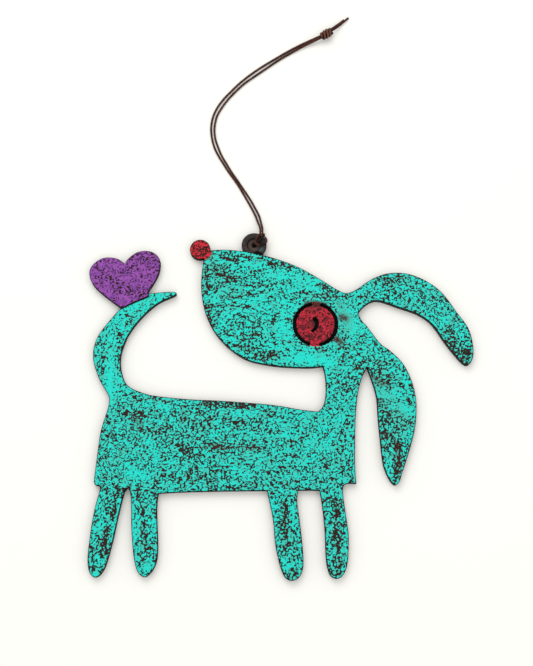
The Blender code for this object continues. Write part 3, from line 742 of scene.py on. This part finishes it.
paint = {
    "zones": [  # place, reach, wear, and the angle and length of the streaks
        (-18, 52, 14, 0.48, 12, 1.5), (-14, 30, 16, 0.45, 6, 1.5), (6, 50, 12, 0.42, -20, 0.8),
        (10, 22, 12, 0.46, 0, 0.8), (30, 38, 8, 0.5, 0, 0.6), (-58, -8, 16, 0.64, 0, 0.1),
        (-34, -20, 18, 0.7, 0, 0.6), (-8, -18, 16, 0.6, 5, 0.6), (16, -10, 14, 0.54, 60, 0.4),
        (2, -58, 14, 0.55, 88, 0.7), (22, -58, 14, 0.68, 88, 0.7), (-66, -58, 14, 0.55, 80, 1),
        (-50, -58, 14, 0.6, 88, 0.8), (50, 44, 14, 0.6, 0, 0.5), (66, 38, 10, 0.55, -20, 0.5),
        (74, 20, 9, 0.6, 75, 0.8), (44, 6, 12, 0.6, 0, 0.8), (46, -20, 14, 0.56, 82, 1),
        (-62, 38, 7, 0.4, 45, 0.6), (-71, 20, 8, 0.46, 85, 0.8), (-70, 4, 8, 0.4, 90, 0.6),
        (-62, 54, 12, 0.36, 15, 0.6),
    ],
    "strokes": [  # from and to, width, and how much more or less is worn
        (-30.3, 57.4, -29.3, 34.9, 1.7, 0.2), (-29.1, 60.9, -13.3, 61.3, 1.9, 0.22),
        (-4.2, 58.7, 4.1, 56.6, 1.3, 0.4), (-26.9, 53.1, -6.2, 48.5, 1.9, 0.22),
        (9, 45.5, 26.7, 43.4, 1.5, 0.42), (-2.5, 36.2, -2.6, 23.6, 0.8, 0.22),
        (-34.2, 63.2, -32.2, 65, 3.4, 0.12), (-16.5, 34.1, -7.5, 30.7, 2.1, 0.06),
        (-12.4, 20.3, 4.8, 17.8, 1.7, 0.18), (-30.1, 37.4, -26.3, 27.4, 1.3, 0.22),
        (15.7, 49.3, 22.2, 47.2, 1.1, 0.45), (21.6, 25.7, 26.1, 24, 1.3, 0.35),
        (-24.1, 58.3, -5, 57, 1.1, -0.35), (4.9, 48.9, 15.6, 47.6, 1.3, -0.3),
        (0.3, 33.2, 2.8, 28.2, 1.7, -0.42), (1.5, 19, 20.3, 16.9, 1.9, -0.55),
        (-27.3, 42.5, -7.5, 40.8, 1.1, -0.25), (25.1, 42.5, 29.4, 29, 1.9, -0.45),
        (-63.3, -3.7, -56.4, -6.1, 2.1, 0.3), (-50.6, -11.4, -36.4, -21.5, 2.9, 0.22),
        (-26.4, -18.3, -9.9, -18.3, 1.7, 0.3), (-59, 1.7, -46.4, 0.8, 1.1, 0.35),
        (-32.6, -0.8, -9.9, -0.8, 1.1, 0.35), (-54.9, -0.8, -46.3, -2.4, 1.3, -0.35),
        (-53, -15.4, -50, -23.5, 1.7, -0.4), (-18.8, -4.5, -9.1, -4.5, 1.1, -0.45),
        (-61.2, -28.3, -53.9, -30.3, 1.9, -0.42), (-24.3, -23.5, -13.8, -29.5, 2.5, -0.3),
        (1.4, -40.7, 3.2, -69.7, 1.5, 0.4), (22.1, -40.7, 22.6, -67.8, 1.7, 0.3),
        (-3.8, -39.5, -3.5, -68.9, 1.1, -0.35), (2.5, -60.4, 3.2, -67.4, 1.5, -0.55),
        (41.3, 51.9, 54.1, 51.4, 1.9, 0.3), (63.4, 43.4, 70.4, 42.1, 1.5, 0.3),
        (69.5, 25.7, 75.8, 17.4, 2.9, 0.3), (36.5, 11.1, 45, 8.7, 2.3, 0.35),
        (36.3, 0.4, 53, 0.4, 0.8, 0.35), (39.7, 5.8, 52, -4.1, 2.7, -0.3),
        (43.5, -9.4, 49.5, -29.9, 3.8, 0.1), (47.2, -14, 47.6, -30, 1.2, 0.25),
        (-60.8, 36.9, -63.4, 31.6, 1, 0.5), (-65.6, 29, -66.6, 21.5, 0.9, 0.35),
        (-72.9, 20.7, -72.6, 10.7, 0.8, 0.45), (-65.9, 19.4, -65.3, 12.8, 1.1, 0.35),
        (-61.4, 36.6, -58, 32.8, 1.3, 0.35), (-69.9, 15.7, -69.5, 0.8, 2.1, -0.3),
        (-61.5, 60.9, -52.7, 59.6, 2.1, 0.3), (-76.3, 57, -69.1, 50.6, 2.5, 0.25),
        (-63.7, 47.6, -57.8, 44.2, 1.7, 0.3), (-65, -34.5, -66.4, -45, 1.1, 0.4),
        (-66.6, -45, -67.4, -48.3, 0.9, 0.35), (-69, -51, -70.3, -61.7, 1.1, 0.45),
        (-57, -34.8, -56.5, -43.1, 0.9, 0.3), (-55.2, -44.2, -53.9, -51.7, 1.2, 0.38),
        (-54.2, -52, -54.5, -62.4, 1.2, 0.42), (-64.2, -40, -66.5, -56, 1, -0.3),
        (-70.5, -45, -72, -52, 1, -0.25), (-58.5, -50, -58.3, -60, 0.9, -0.3),
        (-73, -63, -67, -64, 1.8, -0.4), (-58, -66, -52, -67, 1.6, -0.3),
    ],
    "smudges": [  # brown, nearly covering: from and to, width and strength
        (11, 40.7, 18.2, 40.5, 1.1, 1.8), (11.9, 38.1, 13.5, 37.8, 0.8, 0.8),
        (12.4, 32.3, 13.6, 32, 0.9, 0.8), (25, 35.3, 26.8, 34.8, 1.1, 1.6),
        (22.8, 26.4, 24.4, 25.2, 1.3, 1.4), (23.4, 42.5, 25.9, 40, 0.9, 0.3),
        (36.5, 10.7, 41.7, 7.4, 1.3, 0.6), (36.3, 0.4, 40.8, 0, 0.7, 0.5), (42, -13, 43.3, -15, 0.9, 0.4),
        (46.8, -17.1, 48, -28.1, 0.9, 0.4), (-59.6, -7, -56.3, -9.1, 1.3, 0.5),
        (-27.6, -17.8, -23.5, -18.6, 0.9, 0.45), (-39.5, -4.3, -37.8, -6.8, 0.7, 0.4),
        (-30.4, -18.3, -8.2, -19.1, 0.8, 0.3),
    ],
    "veils": [  # dull, thin paint: from and to, width and strength
        (25.5, 38.5, 28, 30.5, 2.8, 0.5), (40, 6, 50, -8, 4.5, 0.3), (-28, 56, -20, 46, 5, 0.2),
    ],
    "ragged": 2.2 * mm,  # cell of the strokes' noise
    "streak": 0.5,  # how much the fine streaks change the wear
    "streakSize": 1.4 * mm,  # their width, and how many times longer they are
    "streakLength": 11,
    "swing": 30,  # degrees through which their direction wanders
    "patch": 0.15,  # how much round patches add to the streaks, and their size
    "patchSize": 4.5 * mm,
    "winding": 1.32 * mm,  # cell of the noise whose middle level gives winding lines
    "breaks": 0.78 * mm,  # cell of the noise that breaks them into specks, and how strongly
    "broken": 0.52,
    "sharp": 0.006,  # softness of a speck's edge, and reach of the thin paint round it
    "halo": 0.014,
    "wobble": 0.5 * mm,  # how far the borders between colours wander
    "tap": 0.5 * mm,  # how far the lines are drawn out along a streak
    "bare": -0.05,  # level under which metal shows, and what full wear adds to it
    "worn": 0.178,
    "turquoise": [(0.15, "1edccc"), (0.6, "42bfae")],  # colours with their places in a ramp
    "purple": [(0.35, "783d8f"), (0.6, "9550a9")],
    "red": [(0.35, "741826"), (0.55, "ba2537")],
    "under": [(0, "36211a"), (1, "0a0605")],
    "side": [(0.3, "150d0b"), (0.7, "0a0605")],
    "smudge": "44221d",
    # the next colour is dark steel made near black, painted shade deep in the eye's slots
    "slot": "080706",
    # the next colour is a painted highlight on the walls of the eye's slots
    "slotWallHighlight": "3a4a45",
    "noseRed": "cc2a34",
    "nose": (-33.2, 64.1, 5.0),  # centre and radius
    "eye": (14.49, 32.29, 9.35),
    "heart": [(-65.2, 39.1), (-54.5, 44.0)],  # the line between heart and tail
    "notch": (-54.3, 45.0),  # between heart and tail tip
    "rim": 0.3,  # millimetres of dark metal along the outline
}


def strokesAt(points, strokes):
    # the sum of soft strokes at each point, ragged by noise
    at, total = points / mm, np.zeros(len(points))
    for x0, y0, x1, y1, width, amount in strokes:
        line = np.array([x1 - x0, y1 - y0])
        where = np.clip((at - (x0, y0)) @ line / (line @ line), 0, 1)
        gap = np.linalg.norm(at - (x0, y0) - where[:, None] * line, axis=1)
        total += amount * np.exp(-((gap / width) ** 2))
    return total * (0.75 + 0.5 * noiseAt(points, paint["ragged"], 8))


def wearAndGrain(points):
    # the wear at each point, and the direction of its streaks, as a vector of their length
    zones = np.array(paint["zones"], float)
    at = points / mm
    away = ((at[:, None] - zones[:, :2]) ** 2).sum(axis=2)
    share = np.exp(-away / zones[:, 2] ** 2) + 1e-9
    share /= share.sum(axis=1, keepdims=True)
    double = np.radians(2 * zones[:, 4])
    swing = np.radians(paint["swing"]) * (noiseAt(points, 9 * mm, 5) - 0.5)
    angle = np.arctan2(share @ np.sin(double), share @ np.cos(double)) / 2 + swing
    grain = np.stack([np.cos(angle), np.sin(angle)], axis=1)
    along = (points * grain).sum(axis=1)
    across = (points * leftOf(grain)).sum(axis=1)
    lengthwise = np.stack([along / paint["streakLength"], across], axis=1)
    streak = noiseAt(lengthwise, paint["streakSize"], 6) - 0.5
    patch = paint["patch"] * (noiseAt(points, paint["patchSize"], 7) - 0.5)
    drawnOut = share @ zones[:, 5]
    wear = share @ zones[:, 3] + paint["streak"] * (0.35 + 0.65 * drawnOut) * (streak + patch)
    wear = wear + strokesAt(points, paint["strokes"])
    return wear, grain * drawnOut[:, None]


def plateMaterial():
    made, place, feed = newMaterial("paintedSteel", Specular_IOR_Level=0.14)
    x, y, z = (place.part(axis) for axis in "XYZ")
    names = ("wear", "edge", "slotEdge", "smudge", "veil")
    wear, edge, slotEdge, smudge, veil = (attribute(place, name) for name in names)
    grain = attribute(place, "grain", "Vector")
    step = grain.vector("MULTIPLY", (paint["tap"],) * 3)
    taps = [place, place.vector("ADD", step), place.vector("SUBTRACT", step)]
    first, second, third = (tap.noise(paint["winding"], 0.0, 0.5, 0.6) for tap in taps)
    breaks = (place.noise(paint["breaks"], 1.0) - 0.5) * paint["broken"]
    field = abs((first + second + third) / 3 - 0.5) + breaks
    sway = place.noise(1.1 * mm, 2.0) - 0.5
    mottle = place.noise(1.9 * mm, 2.0)
    fine = place.noise(0.7 * mm, 1.0)

    def within(name, more, soft):
        # 1 inside the named circle made larger by more, its border swaying a little
        atX, atY, radius = paint[name]
        away = flatLength(x - atX * mm, y - atY * mm) + sway * paint["wobble"]
        return away.below((radius + more) * mm, soft * mm)

    eye, nose = within("eye", 0, 0.15), within("nose", 0, 0.2)
    (ax, ay), (bx, by) = paint["heart"]
    size = math.hypot(bx - ax, by - ay)
    overLine = (y - ay * mm) * ((bx - ax) / size) - (x - ax * mm) * ((by - ay) / size)
    overLine = overLine + sway * paint["wobble"]
    notchX, notchY = paint["notch"]
    beside = y - notchY * mm - (x - notchX * mm) * 0.7
    before = x.below(notchX * mm, 0.08 * mm)
    heart = overLine.above(0.0, 0.08 * mm) * before.most(beside.above(0.0, 0.08 * mm))
    seam = abs(overLine).below(0.42 * mm, 0.15 * mm) * x.below(-53.9 * mm, 0.5 * mm)

    level = wear * paint["worn"] + paint["bare"]
    gap = field - level
    speck = gap.below(0.0, paint["sharp"])
    halo = gap.below(paint["halo"], paint["halo"])
    dullness = (mottle * 1.1 + wear * 0.35 + fine * 0.9 + veil - 0.9).clamped()
    red = mottle.ramp(*paint["red"]).blended(linear(paint["noseRed"]), nose * 0.7)
    under = (gap * 15 + 1).clamped().ramp(*paint["under"])
    coat = dullness.ramp(*paint["turquoise"]).blended(mottle.ramp(*paint["purple"]), heart)
    coat = coat.blended(red, eye.most(nose))
    thin = coat.blended(under, 0.45)
    top = coat.blended(thin, halo).blended(under, speck)
    top = top.blended(linear(paint["smudge"]), (smudge * (fine * 2 + speck * 0.4)).clamped() * 0.9)
    ring = within("nose", 0.35, 0.15) * (1 - nose)
    rim = (edge + sway * 0.4).below(paint["rim"], 0.07).most(seam).most(ring * 0.85)
    rim = rim.most((slotEdge + sway * 0.9).below(0.06, 0.1))
    low = z.below(2.72 * mm, 0.04 * mm)
    slotted = within("eye", 0.6, 0.1)
    sides = mottle.ramp(*paint["side"])
    # painted highlight: grey-green on the walls of the eye's slots
    slotWallHighlight = sides.blended(linear(paint["slotWallHighlight"]), slotted)
    # painted shade: the eye's slots turn near black towards their bottoms
    black = slotWallHighlight.blended(linear(paint["slot"]), slotted * z.below(1.7 * mm, 0.3 * mm))
    feed("Base Color", top.blended(sides, rim).blended(black, low))
    bare = speck.most(rim).most(low)
    feed("Roughness", bare * 0.12 + fine * 0.12 + 0.46)
    feed("Metallic", bare * 0.25)
    feed("Normal", bump(place, (1 - speck) + fine * 0.25, 0.03 * mm, 0.6))
    return made


def standing(loops, heights):
    # a wall: one closed line at each row of heights
    return np.vstack([np.column_stack(row) for row in zip(loops, heights, strict=True)])


def dentAt(points):
    return plate["dent"] * noiseAt(points, plate["dentSize"], 9)


def makePlate():
    # The front is a height over the plane: thickness, less a quarter ellipse of drop along the outline and
    # each slot, less dent times smooth noise. Sides and slots are rows of one closed line each.
    outline = closedLoops("dog_plate", plate["wallTop"], upwards=False)[0]
    slots = closedLoops("dog_plate", plate["slotFloor"], upwards=True)
    rim = np.clip(roundedLoop(outline, plate["outlineStep"]), cadBox[0][:2], cadBox[1][:2])
    slots = [roundedLoop(slot, plate["slotStep"], corner=60, bulge=0.1 * mm) for slot in slots]
    rings = [share * plate["edgeWidth"] for share in plate["rings"]]
    inner = innerPoints(rim, rings, plate["spacing"], 3)
    around = [inwards(slot, -share * plate["slotWidth"]) for slot in slots for share in plate["slotRings"]]
    clear = np.vstack([inner, *around])
    for slot in slots:
        clear = clear[depthIn(clear, slot) < -0.4 * plate["slotWidth"]]
    front, faces = fillLoops([rim, *slots], clear)
    depth = depthIn(front, rim)
    height = plate["thickness"] - roundOff(depth, plate["edgeWidth"], plate["edgeDrop"])
    for slot in slots:
        height = height - roundOff(-depthIn(front, slot), plate["slotWidth"], plate["slotDrop"])
    height = height - dentAt(front)

    parts = [(np.column_stack([front, height]), faces)]

    # the sides: rows down the outline, their marks running along the plate's thickness
    rows = np.array([plate["thickness"] - plate["edgeDrop"], 2.0 * mm, 1.1 * mm, plate["backDrop"]])
    along = np.cumsum(np.linalg.norm(rim - np.roll(rim, 1, axis=0), axis=1))
    marks = plate["cutMarks"] * noiseAt(np.stack([along, 0 * along], axis=1), 0.9 * mm, 10)
    loops = [inwards(rim, share * marks[:, None]) for share in (0, 1, 1, 0.4)]
    heights = np.repeat(rows[:, None], len(rim), axis=1)
    onRim = depthIn(rim, rim)
    heights[0] = plate["thickness"] - roundOff(onRim, plate["edgeWidth"], plate["edgeDrop"])
    heights[0] -= dentAt(rim)
    parts.append((standing(loops, heights), gridFaces(4, len(rim))[:, ::-1]))

    # the back
    last = loops[-1]
    backInner = innerPoints(last, [plate["backWidth"]], plate["backSpacing"], 4)
    back, faces = fillLoops([last], backInner)
    drop = roundOff(depthIn(back, last), plate["backWidth"], plate["backDrop"])
    parts.append((np.column_stack([back, drop]), faces[:, ::-1]))

    # the slots
    for slot in slots:
        edge = plate["thickness"] - plate["slotDrop"] - dentAt(slot)
        foot = np.full(len(slot), plate["slotFloor"])
        parts.append((standing([slot] * 2, [edge, foot]), gridFaces(2, len(slot))))
        bed, faces = fillLoops([slot], np.empty((0, 2)))
        parts.append((np.column_stack([bed, np.full(len(bed), plate["slotFloor"])]), faces))

    look = plateMaterial()
    made = addPiece("dogPlate", *together(parts), look, "painted_plate", replaces=["dog_plate"])
    flat = pointsOf(made.data)[:, :2]
    wear, grain = wearAndGrain(flat)
    for name, values in {
        "wear": wear,
        "grain": np.column_stack([grain, 0 * wear]),
        "edge": depthIn(flat, rim) / mm,
        "slotEdge": np.min([-depthIn(flat, slot) for slot in slots], axis=0) / mm,
        "smudge": strokesAt(flat, paint["smudges"]),
        "veil": strokesAt(flat, paint["veils"]),
    }.items():
        setAttribute(made.data, name, values)
    return rim


plateRim = makePlate()


# Disc: a steel disc with a dish round the cord's hole, and the weld that holds it to the head

steel = {
    "disc": ("1a1412", "292120", "4d4139"),  # dark, middle and light patches
    "weld": ("030202", "070605", "120e0c"),
    "smear": "35545f",  # a blue-grey heat stain beside the weld
    "smearPlace": (2.9, -2.0),  # millimetres from the disc's centre
    "floor": "56483c",  # of the dish's floor, lighter than the rest
    # the next colour is the painted shadow and shade on the disc, and its darker rim
    "black": "070605",
    "hitchShade": (2.9, 2.2, 1.5),  # painted shade on the disc under the hitch: place and reach in millimetres
}


def darkSteel(name, colours, gloss=0.25):
    # mottled bare steel: its material, and its colour as a Wire that can still be changed
    made, place, feed = newMaterial(name, Specular_IOR_Level=gloss)
    patch = place.noise(1.5 * mm, 3.0, 0.6)
    fine = place.noise(0.3 * mm, 1.0)
    tone = (patch * 0.7 + fine * 0.3).ramp(*zip((0.3, 0.5, 0.7), colours, strict=True))
    feed("Roughness", fine * 0.25 + 0.38)
    feed("Metallic", patch * 0.35)
    feed("Normal", bump(place, patch + fine * 0.3, 0.1 * mm, 0.8))
    return made, place, feed, tone, patch


def discMaterial():
    made, place, feed, tone, patch = darkSteel("darkSteel", steel["disc"])
    smearX, smearY = steel["smearPlace"]
    centre = (discAt[0] + smearX * mm, discAt[1] + smearY * mm, disc["front"])
    toSmear = place.vector("DISTANCE", centre, "Value") + (patch - 0.5) * (3.4 * mm)
    smear = toSmear.below(0.9 * mm, 0.6 * mm) * 0.7
    x, y = place.part("X") - discAt[0], place.part("Y") - discAt[1]
    away = flatLength(x, y)
    # painted shadow: a dark crescent in the dish's corner on its upper left side
    corner = abs(away - (disc["dish"] - 0.12 * mm)).below(0.3 * mm, 0.14 * mm)
    shaded = (y - x * 0.45).above(0.1 * mm, 0.8 * mm) * corner
    tone = tone.blended(linear(steel["floor"]), away.below(disc["dish"] - 0.3 * mm, 0.3 * mm) * 0.5)
    # painted shade on the disc's face under the hitch's turns
    hitchShadeX, hitchShadeY, hitchShadeReach = steel["hitchShade"]
    under = flatLength(x - hitchShadeX * mm, y - hitchShadeY * mm).below(hitchShadeReach * mm, 0.6 * mm)
    # painted shade in and round the cord's hole
    holeShade = away.below(disc["hole"] + 0.15 * mm, 0.15 * mm)
    atRim = away.above(disc["radius"] - 0.3 * mm, 0.2 * mm) * 0.5
    # painted shadow in the dish's corner, painted shade under the hitch and in the hole, and a darker rim
    dark = shaded.most(under * 0.85).most(holeShade).most(atRim)
    tone = tone.blended(linear(steel["smear"]), smear).blended(linear(steel["black"]), dark)
    feed("Base Color", tone)
    return made


def headLimit(angle):
    # how far from the disc's centre the disc reaches at each angle before it meets the head
    reach = np.linspace(1.5 * mm, disc["radius"] + 1 * mm, 90)
    points = discAt[:2] + reach[:, None, None] * np.stack([np.cos(angle), np.sin(angle)], axis=1)
    inside = depthIn(points.reshape(-1, 2), plateRim).reshape(len(reach), -1) > 0.12 * mm
    return np.where(inside.any(axis=0), reach[inside.argmax(axis=0)], 1)


def makeDisc():
    # A closed profile in radius and height, swept about the disc's centre. At each angle the radius is the
    # profile's, or the head's edge where that is nearer.
    edge, r, bed = disc["edge"], disc["radius"], disc["front"] - disc["dishDepth"]
    turn = np.linspace(0, math.pi / 2, 5)
    dish, hole, front, back = disc["dish"], disc["hole"], disc["front"], disc["back"]
    profile = np.vstack([
        [(hole, back + 0.12 * mm), (hole + 0.12 * mm, back)],
        np.column_stack([r - edge + edge * np.sin(turn), back + edge - edge * np.cos(turn)]),
        np.column_stack([r - edge + edge * np.cos(turn), front - edge + edge * np.sin(turn)]),
        [(dish + 0.2 * mm, front), (dish + 0.05 * mm, front - 0.06 * mm)],
        [(dish - 0.06 * mm, bed + 0.1 * mm), (dish - 0.2 * mm, bed)],
        [(hole + 0.3 * mm, bed - 0.05 * mm)],
        [(hole + 0.08 * mm, bed - 0.12 * mm), (hole, bed - 0.3 * mm)],
    ])
    angle = np.linspace(0, 2 * math.pi, disc["sides"] + 1)[:-1]
    radius = np.minimum(profile[:, :1], headLimit(angle))
    x = discAt[0] + radius * np.cos(angle)
    y = discAt[1] + radius * np.sin(angle)
    z = np.broadcast_to(profile[:, 1:], x.shape)
    faces = gridFaces(len(profile) + 1, len(angle)) % (len(profile) * len(angle))
    points = np.stack([x, y, z], axis=-1).reshape(-1, 3)
    addPiece("hangerDisc", points, [faces], discMaterial(), "dark_disc", replaces=["hanger_disc"])


weld = {
    "sizes": [0.03, 0.1, 0.42, 0.4, 0.16, 0.13, 0.5, 0.95, 0.85, 0.5, 0.04],  # radii in millimetres
    "places": [0, 0.06, 0.12, 0.18, 0.28, 0.5, 0.6, 0.7, 0.86, 0.94, 1],  # their shares of the way
    "height": 2.7 * mm,
    "flat": 0.8,  # its height as a share of its width
    "step": 0.14 * mm,
    "sides": 16,
    "lumps": 0.8 * mm,
}


def makeWeld():
    # A lumpy bead along the head's edge, thick where the disc leaves it on the right: an ellipse carried
    # along the edge, its radius the size times 0.75 to 1.25 by smooth noise.
    away = np.linalg.norm(plateRim - discAt[:2], axis=1)
    near = away < disc["radius"] + 1.0 * mm
    path = np.roll(plateRim, -near.argmin(), axis=0)[np.roll(near, -near.argmin())]
    path = path if path[0, 0] < path[-1, 0] else path[::-1]
    path = evenly(path, weld["step"])
    size = np.interp(np.linspace(0, 1, len(path)), weld["places"], weld["sizes"]) * mm
    lump = 0.75 + 0.5 * noiseAt(path, weld["lumps"], 21)
    sides = weld["sides"]
    angle = np.linspace(0, 2 * math.pi, sides + 1)[:-1]
    heading = unit(np.gradient(path, axis=0))
    side = leftOf(heading)
    path = path + side * (0.35 * size)[:, None]
    spread = (size * lump)[:, None]
    across = spread * np.cos(angle)
    x = path[:, :1] + side[:, :1] * across
    y = path[:, 1:] + side[:, 1:] * across
    z = weld["height"] + weld["flat"] * spread * np.sin(angle)
    ends = np.column_stack([path[[0, -1]], [weld["height"]] * 2])
    points = np.vstack([np.stack([x, y, z], axis=-1).reshape(-1, 3), ends])
    ring, beside, tip = np.arange(sides), (np.arange(sides) + 1) % sides, len(path) * sides
    caps = [np.stack([beside, ring, np.full(sides, tip)], axis=1),
            np.stack([tip - sides + ring, tip - sides + beside, np.full(sides, tip + 1)], axis=1)]
    made, _, feed, tone, _ = darkSteel("blackWeld", steel["weld"], 0.1)
    feed("Base Color", tone)
    addPiece("weldBead", points, [gridFaces(len(path), sides), *caps], made, "dark_disc")


makeDisc()
makeWeld()


# Floor

def addFloor():
    half = floor["width"] / 2
    mesh = bpy.data.meshes.new("floor")
    corners = [(-half, -half, 0), (half, -half, 0), (half, half, 0), (-half, half, 0)]
    mesh.from_pydata(corners, [], [(0, 1, 2, 3)])
    look, _, _ = newMaterial(
        "paleFloor", Base_Color=(*floor["colour"], 1), Roughness=floor["roughness"], Specular_IOR_Level=0.2,
        Emission_Color=(*floor["colour"], 1), Emission_Strength=floor["glow"],
    )
    mesh.materials.append(look)
    addObject("floor", mesh)


addFloor()
